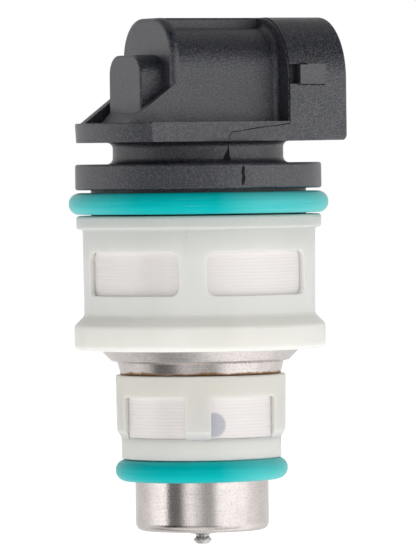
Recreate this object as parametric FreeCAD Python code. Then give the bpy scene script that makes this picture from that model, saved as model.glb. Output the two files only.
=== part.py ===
import FreeCAD, Part
import math
import os

from FreeCAD import Vector

# Throttle-body fuel injector, in millimetres. +Z runs up the injector's axis from the nozzle to the
# electrical connector, +X is the way the connector's socket opens, and the origin is on the axis in
# the plane of the nozzle's end face.

# Pieces that are pressed or moulded together stand PRESSED apart, and pieces that slip together FIT.
PRESSED = 0.02
FIT = 0.05

# Standard O-rings: AS568-119 above, AS568-113 below, both on a 2.62 mm section, seated a little thinner.
RING_SECTION_R = 1.24
UPPER_RING_OUTER_R = 14.5
UPPER_RING_Z = 36.45
LOWER_RING_OUTER_R = 9.63
LOWER_RING_Z = 6.8

# Nozzle end
SHELL_R = 7.42
SHELL_TOP = 5.7
SHELL_WALL = 0.6
SHELL_CORNER = 0.85
TIP_R = 1.56
TIP_BOTTOM = -0.4
TIP_HOLE_R = 1.64
ORIFICE_R = 1.12
SEAT_Z = 1.5
GUIDE_R = 1.92
GUIDE_TOP = 8.3
COLLAR_POCKET_R = 3.2
GROOVE_R = 7.1
GROOVE_TOP = 8.2
BODY_SPIGOT_R = 6.78
BODY_TOP = 9.6
STOP_PLATE_TOP = 10.4
STOP_SLOT_HALF = 1.5
SHIM_TOP = 10.6

# The valve: needle and armature lift together
LIFT = 0.12
SEAT_GAP = 0.02
STOP_GAP = 0.005
PIN_R = 1.05
PINTLE_BOTTOM = -1.57
PINTLE_FACE_R = 0.62
PINTLE_RIM_Z = -1.15
PINTLE_WAIST_R = 0.66
PINTLE_WAIST_Z = -0.62
PINTLE_SHOULDER_Z = -0.38
LANDS = ((4.2, 5.2), (6.8, 7.8))
LAND_CHAMFER = 0.2
STEM_R = 1.3
NEEDLE_NECK_R = 1.25
SHAFT_R = 1.6
SHAFT_TOP = 18.6
COLLAR_R = 2.6
ARMATURE_R = 4.0
ARMATURE_BOTTOM = 15.9
ARMATURE_TOP = 23.75
AIR_GAP = 0.06
SPRING_POCKET_R = 2.0
VENT_R = 0.6
VENT_Z = 19.8
VENTS = 4

# Steel housing: a narrow tube below, the coil can above
TUBE_R = 8.0
TUBE_BOTTOM = 8.22
FUEL_ROOM_R = 5.9
FUEL_ROOM_TOP = 15.6
NECK_BOTTOM = 17.4
NECK_BOTTOM_R = 8.93
NECK_TOP = 18.8
NECK_TOP_R = 9.28
SHOULDER_R = 9.95
SHOULDER_BOTTOM = 18.95
SHOULDER_TOP = 20.65
CAN_R = 11.6
CAN_WALL = 1.1
CAN_FLOOR = 21.4
CAN_SHELF = 34.3
CAN_TOP = 35.1
CRIMP_R = 9.6
INLET_R = 1.35
INLET_Z = 12.0
INLET_ANGLE = -106.0
INLETS = 4
RETURN_Z = 24.0
RETURN_ANGLE = 45.0
RETURNS = 4
PASSAGE_R = 0.7
PASSAGE_X = 5.1
PASSAGES = 4

# Coil, core and flux washer
CORE_R = 4.0
CORE_TOP = 38.6
CORE_SEAL_SECTION_R = 0.5
SEAL_ROOM = 1.1
BOBBIN_BORE_R = 4.2
BOBBIN_TUBE_R = 5.0
BOBBIN_FLANGE_R = 9.9
BOBBIN_FLANGE = 0.9
BOBBIN_TOP = 32.3
WINDING_R = 9.2
TAPE = 0.15
ADJUSTER_BOTTOM = 30.0
ADJUSTER_TOP = 36.5
ADJUSTER_BORE_R = 1.2
ADJUSTER_SLOT = 0.6
SPRING_WIRE_R = 0.3
SPRING_SLACK = 0.15
SPRING_TURNS = 9

# Filters: a moulded frame over a thin screen, with two pairs of windows. Each pair stands either side of
# a narrow rib, and wide ribs part the pairs.
UPPER_FRAME_BOTTOM = 20.2
UPPER_FLANGE_R = 14.0
UPPER_FLANGE_TOP = 22.9
UPPER_BODY_R = 12.87
UPPER_BODY_BOTTOM = 24.0
UPPER_BODY_TOP_R = 12.97
UPPER_LIP_R = 13.65
UPPER_LIP_BOTTOM = 33.57
UPPER_SCREEN_R = 12.2
UPPER_WINDOW = (26.3, 31.1)
UPPER_WINDOW_CORNER = 1.0
UPPER_WINDOW_DEG = 60.0
UPPER_WINDOW_SPREAD = 37.0
UPPER_RIB_ANGLE = -118.2
LOWER_FRAME_BOTTOM = 8.06
LOWER_FRAME_TOP = 17.38
LOWER_FOOT_R = 8.9
LOWER_FOOT_TOP = 10.33
LOWER_BODY_R = 9.39
LOWER_BODY_BOTTOM = 11.23
LOWER_BODY_TOP_R = 9.48
LOWER_SCREEN_R = 8.72
LOWER_WINDOW = (10.5, 15.0)
LOWER_WINDOW_CORNER = 0.2
WINDOW_EDGE = 0.1
LOWER_WINDOW_DEG = 54.4
LOWER_WINDOW_SPREAD = 36.0
LOWER_RIB_ANGLE = -117.0
SCREEN = 0.15

# Black connector cap
SPIGOT_BOTTOM = 35.12
SPIGOT_R = 12.0
DISC_R = 13.72
DISC_BOTTOM = 38.0
DISC_TOP = 40.85
CAP_NECK_R = 9.5
CAP_NECK_FILLET = 0.7
FLANGE_BOTTOM = 43.25
FLANGE_TOP = 45.4
FLANGE_FOOT_R = 13.55
FLANGE_R = 13.68
FLANGE_CHAMFER = 0.12
CAP_TOP = 57.0
COLLAR_HALF = 9.4
COLLAR_BACK = 6.76
COLLAR_MOUTH = 13.97
COLLAR_CORNER = 6.8
COLLAR_FOOT_CORNER = 0.7
COLLAR_REAR_EDGE = 0.15
COVE = 0.6
COLLAR_MOUTH_EDGE = 0.25
HOUSING_HALF = 6.6
HOUSING_TOP = 55.8
HOUSING_CORNER = 4.4
PLATE_BACK = -6.15
PLATE_FRONT = -5.25
PLATE_CORNER = 4.5
PLATE_EDGE = 0.6
SPINE_HALF = 1.6
SPINE_EDGE = 0.25
POST_BACK = -8.88
POST_HALF = 4.22
POST_TOP = 52.9
POST_CORNER = 2.2
POST_EDGE = 0.3
POST_FLARE = 1.0
POST_FLARE_TOP = 46.5
ROOT = 0.3
GUSSET_FOOT = -11.4
GUSSET_TOP = 50.0
GUSSET = 1.2
SOCKET_HALF = 7.9
SOCKET_CORNER = 5.3
SOCKET_FOOT_CORNER = 0.8
SOCKET_BOTTOM = 44.9
SOCKET_TOP = 55.5
SOCKET_STEP = 7.85
INNER_HALF = 5.3
INNER_CORNER = 3.2
INNER_FOOT_CORNER = 0.5
INNER_BOTTOM = 46.6
INNER_TOP = 54.4
INNER_BACK = 0.5
LOCK_BOTTOM = 49.5
LOCK_TOP = 51.7
LOCK_HOLE = (7.0, 7.95)
LOCK_HOLE_FLOOR = 8.3
LOCK_RAMP_END = 11.4
LOCK_RISE = 0.65

# Terminal blades, 2.8 x 0.8 mm on a 5 mm pitch
BLADE_Y = 2.5
BLADE = 0.8
BLADE_WIDTH = 2.8
BLADE_LEG_BACK = -8.0
BLADE_TIP = 10.5
BLADE_POINT_LENGTH = 1.0
BLADE_POINT_DROP = 0.8
BLADE_Z = 50.2
TOWER_MARGIN = 0.5
SEAL_MARGIN = 0.9
SEAL_BAND = (35.8, 37.6)


# ---- Shape helpers ----

def flat_xz(a, b):
    return Vector(a, 0, b)


def flat_yz(a, b):
    return Vector(0, a, b)


def outline(corners, place):
    """A closed wire through the corners. A corner is (a, b), or (a, b, radius) where it is rounded."""
    points = [Vector(c[0], c[1], 0) for c in corners]
    radii = [c[2] if len(c) > 2 else 0 for c in corners]
    stretches = []
    for i, corner in enumerate(points):
        if not radii[i]:
            stretches.append([corner])
            continue
        back = (points[i - 1] - corner).normalize()
        ahead = (points[(i + 1) % len(points)] - corner).normalize()
        half = back.getAngle(ahead) / 2
        inward = (back + ahead).normalize()
        reach = radii[i] / math.tan(half)
        middle = corner + inward * (radii[i] / math.sin(half) - radii[i])
        stretches.append([corner + back * reach, middle, corner + ahead * reach])
    edges = []
    for i, stretch in enumerate(stretches):
        spots = [place(p.x, p.y) for p in stretch]
        if len(spots) == 3:
            edges.append(Part.Arc(*spots).toShape())
        start = stretches[(i + 1) % len(stretches)][0]
        onward = place(start.x, start.y)
        if spots[-1].distanceToPoint(onward) > 1e-6:
            edges.append(Part.LineSegment(spots[-1], onward).toShape())
    return Part.Wire(edges)


def turned(corners):
    """A solid of revolution about Z from an outline of (radius, z) corners."""
    face = Part.Face(outline(corners, flat_xz))
    return face.revolve(Vector(0, 0, 0), Vector(0, 0, 1), 360)


def ring(inner, outer, bottom, top):
    return turned([(inner, bottom), (outer, bottom), (outer, top), (inner, top)])


def rod(radius, bottom, top):
    return Part.makeCylinder(radius, top - bottom, Vector(0, 0, bottom))


def block(x0, x1, y0, y1, z0, z1):
    return Part.makeBox(x1 - x0, y1 - y0, z1 - z0, Vector(x0, y0, z0))


def arch(half, bottom, top, corner, x0, x1, foot_corner=0):
    """A D-shaped bar along X: flat foot, upright sides, and rounded upper corners."""
    corners = [(-half, bottom, foot_corner), (half, bottom, foot_corner),
               (half, top, corner), (-half, top, corner)]
    wire = outline(corners, flat_yz)
    bar = Part.Face(wire).extrude(Vector(x1 - x0, 0, 0))
    bar.translate(Vector(x0, 0, 0))
    return bar


def spun(shape, degrees):
    copy = shape.copy()
    copy.rotate(Vector(0, 0, 0), Vector(0, 0, 1), degrees)
    return copy


def around(shape, count, first):
    """The shape and its equally spaced copies about Z, the first turned to the angle given."""
    return [spun(shape, first + 360.0 / count * i) for i in range(count)]


def window(degrees, bottom, top, corner, inner, reach):
    """A cutter about +X for a rounded opening whose end walls point at the axis, to be spun into place."""
    wedge = Part.makeCylinder(reach, top - bottom, Vector(0, 0, bottom), Vector(0, 0, 1), degrees)
    wedge = spun(wedge, -degrees / 2).cut(rod(inner, bottom - 1, top + 1))
    outward = [e for e in wedge.Edges if len(e.Vertexes) == 2 and abs(e.Length - (reach - inner)) < 1e-6
               and abs(e.Vertexes[0].Z - e.Vertexes[1].Z) < 1e-6]
    return wedge.makeFillet(corner, outward)


def with_windows(frame, opening, rib_angle, spread, outer):
    """The frame with openings either side of a rib, and the same pair opposite, their outer edges eased."""
    for side in (-1, 1):
        for gap in around(opening, 2, rib_angle + side * spread):
            frame = frame.cut(gap)
    box = opening.BoundBox
    rims = [e for e in frame.Edges
            if e.BoundBox.ZMin > box.ZMin - 0.1 and e.BoundBox.ZMax < box.ZMax + 0.1
            and all(math.hypot(v.X, v.Y) > outer for v in e.Vertexes)]
    return frame.makeFillet(WINDOW_EDGE, rims)


def edges_at(shape, x, above):
    """The edges that lie in the plane at x and reach above the height given."""
    return [e for e in shape.Edges
            if e.BoundBox.XMin > x - 0.01 and e.BoundBox.XMax < x + 0.01 and e.BoundBox.ZMax > above]


def radial_hole(radius, z, reach):
    return Part.makeCylinder(radius, reach, Vector(0, 0, z), Vector(1, 0, 0))


def o_ring(outer, section, z):
    return Part.makeTorus(outer - section, section, Vector(0, 0, z))


# ---- Nozzle end ----

def nozzle_shell():
    inner = SHELL_R - SHELL_WALL
    return turned([
        (TIP_HOLE_R, 0), (SHELL_R, 0, SHELL_CORNER), (SHELL_R, SHELL_TOP),
        (inner, SHELL_TOP), (inner, SHELL_WALL, SHELL_CORNER - SHELL_WALL), (TIP_HOLE_R, SHELL_WALL),
    ])


def valve_body():
    """The turned body with the needle's guide bore, its conical seat and the orifice in the tip."""
    core = SHELL_R - SHELL_WALL - FIT
    cone = GUIDE_R - ORIFICE_R
    bottom = SHELL_WALL + PRESSED
    top = SHELL_TOP + PRESSED
    return turned([
        (ORIFICE_R, TIP_BOTTOM), (TIP_R, TIP_BOTTOM, 0.15), (TIP_R, bottom),
        (core, bottom, 0.4), (core, top), (GROOVE_R, top),
        (GROOVE_R, GROOVE_TOP), (BODY_SPIGOT_R, GROOVE_TOP), (BODY_SPIGOT_R, BODY_TOP),
        (COLLAR_POCKET_R, BODY_TOP), (COLLAR_POCKET_R, GUIDE_TOP), (GUIDE_R, GUIDE_TOP),
        (GUIDE_R, SEAT_Z + cone), (ORIFICE_R, SEAT_Z),
    ])


def pintle_needle():
    """Pintle, seat cone, two square guide lands, the stop collar and the shaft, in one piece."""
    slip = SEAT_GAP * math.sqrt(2)
    cone_bottom = SEAT_Z + slip - (ORIFICE_R - PIN_R)
    cone_r = GUIDE_R - LAND_CHAMFER
    cone_top = cone_bottom + cone_r - PIN_R
    land_r = GUIDE_R - SEAT_GAP
    collar_bottom = GUIDE_TOP + LAND_CHAMFER
    collar_top = BODY_TOP - LIFT - STOP_GAP
    corners = [
        (0, PINTLE_BOTTOM), (PINTLE_FACE_R, PINTLE_BOTTOM, 0.25), (PIN_R, PINTLE_RIM_Z, 0.12),
        (PINTLE_WAIST_R, PINTLE_WAIST_Z, 0.12), (PIN_R, PINTLE_SHOULDER_Z), (PIN_R, cone_bottom),
        (cone_r, cone_top), (cone_r, cone_top + LAND_CHAMFER), (STEM_R, cone_top + 3 * LAND_CHAMFER),
    ]
    for bottom, top in LANDS:
        corners += [(STEM_R, bottom - LAND_CHAMFER), (land_r, bottom), (land_r, top),
                    (STEM_R, top + LAND_CHAMFER)]
    corners += [
        (STEM_R, collar_bottom), (COLLAR_R, collar_bottom, 0.1), (COLLAR_R, collar_top, 0.1),
        (NEEDLE_NECK_R, collar_top), (NEEDLE_NECK_R, SHIM_TOP), (SHAFT_R, SHIM_TOP + 0.3),
        (SHAFT_R, SHAFT_TOP), (0, SHAFT_TOP),
    ]
    needle = turned(corners)
    flat = land_r * 0.8
    low = LANDS[0][0] - LAND_CHAMFER
    high = LANDS[-1][1] + LAND_CHAMFER
    for side in around(block(flat, land_r + 1, -land_r, land_r, low, high), 4, 45):
        needle = needle.cut(side)
    return needle


def stop_plate():
    """A C-shaped washer slipped over the needle's neck. The collar rises against its underside."""
    plate = rod(BODY_SPIGOT_R, BODY_TOP, STOP_PLATE_TOP)
    slot = rod(STOP_SLOT_HALF, BODY_TOP, STOP_PLATE_TOP)
    slot = slot.fuse(block(0, TUBE_R, -STOP_SLOT_HALF, STOP_SLOT_HALF, BODY_TOP, STOP_PLATE_TOP))
    return plate.cut(slot)


def lift_shim():
    return ring(FUEL_ROOM_R, BODY_SPIGOT_R, STOP_PLATE_TOP, SHIM_TOP)


# ---- Moving iron, spring and core ----

def armature():
    iron = turned([
        (SHAFT_R + PRESSED, ARMATURE_BOTTOM), (ARMATURE_R, ARMATURE_BOTTOM, 0.3),
        (ARMATURE_R, ARMATURE_TOP, 0.15), (SPRING_POCKET_R, ARMATURE_TOP),
        (SPRING_POCKET_R, SHAFT_TOP), (SHAFT_R + PRESSED, SHAFT_TOP),
    ])
    for hole in around(radial_hole(VENT_R, VENT_Z, ARMATURE_R + 1), VENTS, 0):
        iron = iron.cut(hole)
    return iron


def return_spring():
    """A coil spring from the needle's top up to the adjusting sleeve, its ends ground flat."""
    height = ADJUSTER_BOTTOM - SHAFT_TOP
    radius = SPRING_POCKET_R - SPRING_SLACK - SPRING_WIRE_R
    path = Part.makeHelix(height / SPRING_TURNS, height, radius)
    section = Part.Wire(Part.Circle(Vector(radius, 0, 0), Vector(0, 1, 0), SPRING_WIRE_R).toShape())
    wire = Part.Wire(path).makePipeShell([section], True, True)
    wire.translate(Vector(0, 0, SHAFT_TOP))
    return wire.common(rod(SPRING_POCKET_R, SHAFT_TOP, ADJUSTER_BOTTOM))


def adjusting_sleeve():
    """A split sleeve pressed into the core. Its depth sets the spring's load."""
    sleeve = ring(ADJUSTER_BORE_R, SPRING_POCKET_R - PRESSED, ADJUSTER_BOTTOM, ADJUSTER_TOP)
    half = ADJUSTER_SLOT / 2
    return sleeve.cut(block(0, CORE_R, -half, half, ADJUSTER_BOTTOM, ADJUSTER_TOP))


def pole_core():
    bottom = ARMATURE_TOP + LIFT + AIR_GAP
    return turned([
        (SPRING_POCKET_R, bottom), (CORE_R, bottom, 0.15), (CORE_R, CORE_TOP, 0.4),
        (SPRING_POCKET_R, CORE_TOP),
    ])


# ---- Blades and what they pass through ----

def blade_leg(margin, bottom, top, side):
    """The upright stretch of a blade with a margin round it, at +Y or -Y."""
    middle = side * BLADE_Y
    return block(BLADE_LEG_BACK - margin, BLADE_LEG_BACK + BLADE_WIDTH + margin,
                 middle - BLADE / 2 - margin, middle + BLADE / 2 + margin, bottom, top)


def terminal_blade(side):
    """A flat L-shaped blade: a leg up from the coil, and a tab along +X into the socket."""
    low = BLADE_Z - BLADE_WIDTH / 2
    high = BLADE_Z + BLADE_WIDTH / 2
    corners = [
        (BLADE_LEG_BACK, BOBBIN_TOP), (BLADE_LEG_BACK + BLADE_WIDTH, BOBBIN_TOP),
        (BLADE_LEG_BACK + BLADE_WIDTH, low, 0.5), (BLADE_TIP - BLADE_POINT_LENGTH, low),
        (BLADE_TIP, low + BLADE_POINT_DROP, 0.2), (BLADE_TIP, high - BLADE_POINT_DROP, 0.2),
        (BLADE_TIP - BLADE_POINT_LENGTH, high), (BLADE_LEG_BACK, high, 0.6),
    ]
    blade = Part.Face(outline(corners, flat_xz)).extrude(Vector(0, BLADE, 0))
    blade.translate(Vector(0, side * BLADE_Y - BLADE / 2, 0))
    return blade


def terminal_seal(side):
    return blade_leg(SEAL_MARGIN, *SEAL_BAND, side).cut(blade_leg(0, *SEAL_BAND, side))


def flux_washer():
    """The steel lid of the magnetic circuit, slotted where the bobbin's two towers come through."""
    washer = ring(CORE_R + PRESSED, CAN_R - CAN_WALL - FIT, BOBBIN_TOP, CAN_SHELF)
    for side in (1, -1):
        washer = washer.cut(blade_leg(TOWER_MARGIN + FIT, BOBBIN_TOP, CAN_SHELF, side))
    return washer


def coil_bobbin():
    low = CAN_FLOOR + FIT
    high = BOBBIN_TOP
    bobbin = turned([
        (BOBBIN_BORE_R, low), (BOBBIN_FLANGE_R, low, 0.2), (BOBBIN_FLANGE_R, low + BOBBIN_FLANGE, 0.2),
        (BOBBIN_TUBE_R, low + BOBBIN_FLANGE), (BOBBIN_TUBE_R, high - BOBBIN_FLANGE),
        (BOBBIN_FLANGE_R, high - BOBBIN_FLANGE, 0.2), (BOBBIN_FLANGE_R, high, 0.2), (BOBBIN_BORE_R, high),
    ])
    for side in (1, -1):
        tower = blade_leg(TOWER_MARGIN, high - 0.2, CAN_SHELF, side)
        bobbin = bobbin.fuse(tower).cut(blade_leg(0, high, CAN_SHELF, side))
    return bobbin


def coil_winding():
    low = CAN_FLOOR + FIT + BOBBIN_FLANGE
    return ring(BOBBIN_TUBE_R + PRESSED, WINDING_R, low + PRESSED, BOBBIN_TOP - BOBBIN_FLANGE - PRESSED)


def coil_tape():
    low = CAN_FLOOR + FIT + BOBBIN_FLANGE
    inner = WINDING_R + PRESSED
    return ring(inner, inner + TAPE, low + PRESSED, BOBBIN_TOP - BOBBIN_FLANGE - PRESSED)


def core_seal():
    """A small O-ring round the core's stem, in a recess in the cap's foot."""
    return o_ring(CORE_R + PRESSED + 2 * CORE_SEAL_SECTION_R, CORE_SEAL_SECTION_R,
                  CAN_SHELF + PRESSED + CORE_SEAL_SECTION_R)


# ---- Steel housing ----

def solenoid_housing():
    bore = ARMATURE_R + 0.1
    inside = CAN_R - CAN_WALL
    housing = turned([
        (BODY_SPIGOT_R + FIT, TUBE_BOTTOM), (TUBE_R, TUBE_BOTTOM, 0.2), (TUBE_R, NECK_BOTTOM),
        (NECK_BOTTOM_R, NECK_BOTTOM, 0.1), (NECK_TOP_R, NECK_TOP, 0.1), (SHOULDER_R, SHOULDER_BOTTOM, 0.35),
        (CAN_R, SHOULDER_TOP, 0.8), (CAN_R, CAN_TOP, 0.5), (CRIMP_R, CAN_TOP), (CRIMP_R, CAN_SHELF),
        (inside, CAN_SHELF), (inside, CAN_FLOOR), (bore, CAN_FLOOR), (bore, FUEL_ROOM_TOP),
        (FUEL_ROOM_R, FUEL_ROOM_TOP), (FUEL_ROOM_R, SHIM_TOP), (BODY_SPIGOT_R + FIT, SHIM_TOP),
    ])
    for hole in around(radial_hole(INLET_R, INLET_Z, TUBE_R + 1), INLETS, INLET_ANGLE):
        housing = housing.cut(hole)
    passage = Part.makeCylinder(PASSAGE_R, CAN_FLOOR - FUEL_ROOM_TOP, Vector(PASSAGE_X, 0, FUEL_ROOM_TOP))
    for hole in around(passage, PASSAGES, 0):
        housing = housing.cut(hole)
    for hole in around(radial_hole(INLET_R, RETURN_Z, CAN_R + 1), RETURNS, RETURN_ANGLE):
        housing = housing.cut(hole)
    return housing


# ---- Filters ----

def upper_filter_frame():
    inner = CAN_R + FIT
    recess = UPPER_SCREEN_R + FIT
    frame = turned([
        (inner, UPPER_FRAME_BOTTOM), (UPPER_FLANGE_R, UPPER_FRAME_BOTTOM, 0.6),
        (UPPER_FLANGE_R, UPPER_FLANGE_TOP, 0.5), (UPPER_BODY_R, UPPER_BODY_BOTTOM, 0.6),
        (UPPER_BODY_TOP_R, UPPER_LIP_BOTTOM, 0.25), (UPPER_LIP_R, UPPER_LIP_BOTTOM + 0.1, 0.3),
        (UPPER_LIP_R, SPIGOT_BOTTOM, 0.35), (inner, SPIGOT_BOTTOM), (inner, UPPER_LIP_BOTTOM),
        (recess, UPPER_LIP_BOTTOM - 0.6), (recess, UPPER_BODY_BOTTOM + 0.5), (inner, UPPER_BODY_BOTTOM - 0.1),
    ])
    opening = window(UPPER_WINDOW_DEG, *UPPER_WINDOW, UPPER_WINDOW_CORNER, CAN_R - 1, UPPER_FLANGE_R + 1)
    return with_windows(frame, opening, UPPER_RIB_ANGLE, UPPER_WINDOW_SPREAD, UPPER_BODY_R)


def upper_filter_screen():
    return ring(UPPER_SCREEN_R - SCREEN, UPPER_SCREEN_R, UPPER_BODY_BOTTOM + 0.7, UPPER_LIP_BOTTOM - 0.8)


def lower_filter_frame():
    inner = TUBE_R + FIT
    recess = LOWER_SCREEN_R + FIT
    bottom = LOWER_FRAME_BOTTOM
    frame = turned([
        (inner, bottom), (LOWER_FOOT_R, bottom, 0.15), (LOWER_FOOT_R, LOWER_FOOT_TOP),
        (LOWER_BODY_R, LOWER_BODY_BOTTOM, 0.3), (LOWER_BODY_TOP_R, LOWER_FRAME_TOP, 0.2),
        (inner, LOWER_FRAME_TOP), (inner, LOWER_FRAME_TOP - 1.6), (recess, LOWER_FRAME_TOP - 2.1),
        (recess, LOWER_FOOT_TOP), (inner, LOWER_FOOT_TOP - 0.6),
    ])
    opening = window(LOWER_WINDOW_DEG, *LOWER_WINDOW, LOWER_WINDOW_CORNER, TUBE_R - 1, LOWER_BODY_R + 1)
    return with_windows(frame, opening, LOWER_RIB_ANGLE, LOWER_WINDOW_SPREAD, LOWER_FOOT_R)


def lower_filter_screen():
    return ring(LOWER_SCREEN_R - SCREEN, LOWER_SCREEN_R, LOWER_FOOT_TOP + 0.05, LOWER_FRAME_TOP - 2.15)


# ---- Connector cap ----

def cap_base():
    """The turned foot of the cap: stub, seal spigot, disc, neck and the flange with its two flat sides."""
    turning = turned([
        (0, CAN_SHELF), (CRIMP_R - FIT, CAN_SHELF), (CRIMP_R - FIT, SPIGOT_BOTTOM),
        (SPIGOT_R, SPIGOT_BOTTOM, 0.15), (SPIGOT_R, DISC_BOTTOM), (DISC_R, DISC_BOTTOM, 0.25),
        (DISC_R, DISC_TOP, 0.3), (CAP_NECK_R, DISC_TOP, CAP_NECK_FILLET),
        (CAP_NECK_R, FLANGE_BOTTOM, CAP_NECK_FILLET), (FLANGE_FOOT_R, FLANGE_BOTTOM),
        (FLANGE_R, FLANGE_TOP - FLANGE_CHAMFER), (FLANGE_R - FLANGE_CHAMFER, FLANGE_TOP), (0, FLANGE_TOP),
    ])
    for side in (1, -1):
        y0, y1 = sorted((side * COLLAR_HALF, side * (FLANGE_R + 1)))
        turning = turning.cut(block(-15, 15, y0, y1, FLANGE_BOTTOM, FLANGE_TOP + 1))
    return turning


def rear_plate():
    """The D-shaped plate that closes the connector's back, its rear rim rounded."""
    plate = arch(HOUSING_HALF, FLANGE_TOP - ROOT, CAP_TOP, PLATE_CORNER, PLATE_BACK, PLATE_FRONT)
    return plate.makeFillet(PLATE_EDGE, edges_at(plate, PLATE_BACK, FLANGE_TOP))


def gusset(side):
    """A sloping web from the flange up to the housing's side."""
    corners = [
        (GUSSET_FOOT, FLANGE_TOP - ROOT), (GUSSET_FOOT, FLANGE_TOP), (PLATE_FRONT, GUSSET_TOP),
        (PLATE_FRONT + ROOT, GUSSET_TOP), (PLATE_FRONT + ROOT, FLANGE_TOP - ROOT),
    ]
    web = Part.Face(outline(corners, flat_xz)).extrude(Vector(0, GUSSET, 0))
    web.translate(Vector(0, side * (HOUSING_HALF - GUSSET / 2) - GUSSET / 2, 0))
    return web


def rear_post():
    """The boss behind the plate that covers the blades' legs, flared at its foot."""
    post = arch(POST_HALF, FLANGE_TOP - ROOT, POST_TOP, POST_CORNER, POST_BACK, PLATE_BACK + ROOT)
    post = post.makeFillet(POST_EDGE, edges_at(post, POST_BACK, FLANGE_TOP))
    flare = [(POST_BACK - POST_FLARE, FLANGE_TOP - ROOT), (POST_BACK - POST_FLARE, FLANGE_TOP),
             (POST_BACK, POST_FLARE_TOP), (POST_BACK + 2 * ROOT, POST_FLARE_TOP),
             (POST_BACK + 2 * ROOT, FLANGE_TOP - ROOT)]
    foot = Part.Face(outline(flare, flat_xz)).extrude(Vector(0, 2 * POST_HALF, 0))
    foot.translate(Vector(0, -POST_HALF, 0))
    return post.fuse(foot)


def lock_ramp(side):
    """The wedge on the collar's side that a plug's clip rides over before it drops in the pocket."""
    wedge = [
        Vector(LOCK_HOLE[1], side * (COLLAR_HALF - ROOT), LOCK_BOTTOM),
        Vector(LOCK_RAMP_END, side * (COLLAR_HALF - ROOT), LOCK_BOTTOM),
        Vector(LOCK_RAMP_END, side * COLLAR_HALF, LOCK_BOTTOM),
        Vector(LOCK_HOLE[1], side * (COLLAR_HALF + LOCK_RISE), LOCK_BOTTOM),
    ]
    face = Part.Face(Part.makePolygon(wedge + wedge[:1]))
    return face.extrude(Vector(0, 0, LOCK_TOP - LOCK_BOTTOM))


def lock_hole(side):
    """The pocket behind the ramp that the clip drops in."""
    y0, y1 = sorted((side * LOCK_HOLE_FLOOR, side * (COLLAR_HALF + 1)))
    return block(*LOCK_HOLE, y0, y1, LOCK_BOTTOM, LOCK_TOP)


def connector_cap():
    cap = cap_base()
    collar = arch(COLLAR_HALF, FLANGE_BOTTOM, CAP_TOP, COLLAR_CORNER, COLLAR_BACK, COLLAR_MOUTH,
                  COLLAR_FOOT_CORNER)
    collar = collar.makeFillet(COLLAR_REAR_EDGE, edges_at(collar, COLLAR_BACK, FLANGE_TOP))
    collar = collar.makeFillet(COLLAR_MOUTH_EDGE, edges_at(collar, COLLAR_MOUTH, 0))
    panel = arch(HOUSING_HALF, FLANGE_TOP - ROOT, HOUSING_TOP, HOUSING_CORNER, PLATE_FRONT - ROOT,
                 COLLAR_BACK + ROOT)
    shell = collar.fuse(panel)
    shell = shell.makeFillet(COVE, [
        e for e in edges_at(shell, COLLAR_BACK, FLANGE_TOP)
        if e.BoundBox.XMin > COLLAR_BACK - 0.01 and e.BoundBox.ZMax < HOUSING_TOP + 0.01
        and max(abs(e.BoundBox.YMin), abs(e.BoundBox.YMax)) < HOUSING_HALF + 0.01])
    spine = arch(SPINE_HALF, HOUSING_TOP - 1, CAP_TOP, SPINE_EDGE, PLATE_FRONT - ROOT, COLLAR_BACK + ROOT)
    pieces = [shell, spine, rear_plate(), rear_post()]
    pieces += [gusset(side) for side in (1, -1)] + [lock_ramp(side) for side in (1, -1)]
    for piece in pieces:
        cap = cap.fuse(piece)
    gaps = [
        arch(SOCKET_HALF, SOCKET_BOTTOM, SOCKET_TOP, SOCKET_CORNER, SOCKET_STEP, COLLAR_MOUTH + 1,
             SOCKET_FOOT_CORNER),
        arch(INNER_HALF, INNER_BOTTOM, INNER_TOP, INNER_CORNER, INNER_BACK, SOCKET_STEP + ROOT,
             INNER_FOOT_CORNER),
        rod(CORE_R + PRESSED, CAN_SHELF - 1, CORE_TOP + PRESSED),
        rod(CORE_R + SEAL_ROOM, CAN_SHELF - 1, CAN_SHELF + SEAL_ROOM),
    ]
    for side in (1, -1):
        gaps += [terminal_blade(side), lock_hole(side), blade_leg(SEAL_MARGIN, *SEAL_BAND, side)]
    for gap in gaps:
        cap = cap.cut(gap)
    return cap


NODES = {
    "connector_cap": connector_cap,
    "terminal_blade_left": lambda: terminal_blade(1),
    "terminal_blade_right": lambda: terminal_blade(-1),
    "terminal_seal_left": lambda: terminal_seal(1),
    "terminal_seal_right": lambda: terminal_seal(-1),
    "core_seal": core_seal,
    "upper_o_ring": lambda: o_ring(UPPER_RING_OUTER_R, RING_SECTION_R, UPPER_RING_Z),
    "upper_filter_frame": upper_filter_frame,
    "upper_filter_screen": upper_filter_screen,
    "solenoid_housing": solenoid_housing,
    "flux_washer": flux_washer,
    "pole_core": pole_core,
    "adjusting_sleeve": adjusting_sleeve,
    "coil_bobbin": coil_bobbin,
    "coil_winding": coil_winding,
    "coil_tape": coil_tape,
    "lower_filter_frame": lower_filter_frame,
    "lower_filter_screen": lower_filter_screen,
    "lower_o_ring": lambda: o_ring(LOWER_RING_OUTER_R, RING_SECTION_R, LOWER_RING_Z),
    "nozzle_shell": nozzle_shell,
    "valve_body": valve_body,
    "stop_plate": stop_plate,
    "lift_shim": lift_shim,
    "pintle_needle": pintle_needle,
    "armature": armature,
    "return_spring": return_spring,
}

os.makedirs("parts", exist_ok=True)
for name, make in NODES.items():
    shape = make()
    shape.exportStep(f"parts/{name}.step")
    print(name, len(shape.Solids), "solid", shape.isValid(), round(shape.Volume, 2), "mm3")
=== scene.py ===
import math
import random

import bmesh
import bpy
from mathutils import Matrix, Vector
from mathutils.bvhtree import BVHTree


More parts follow.
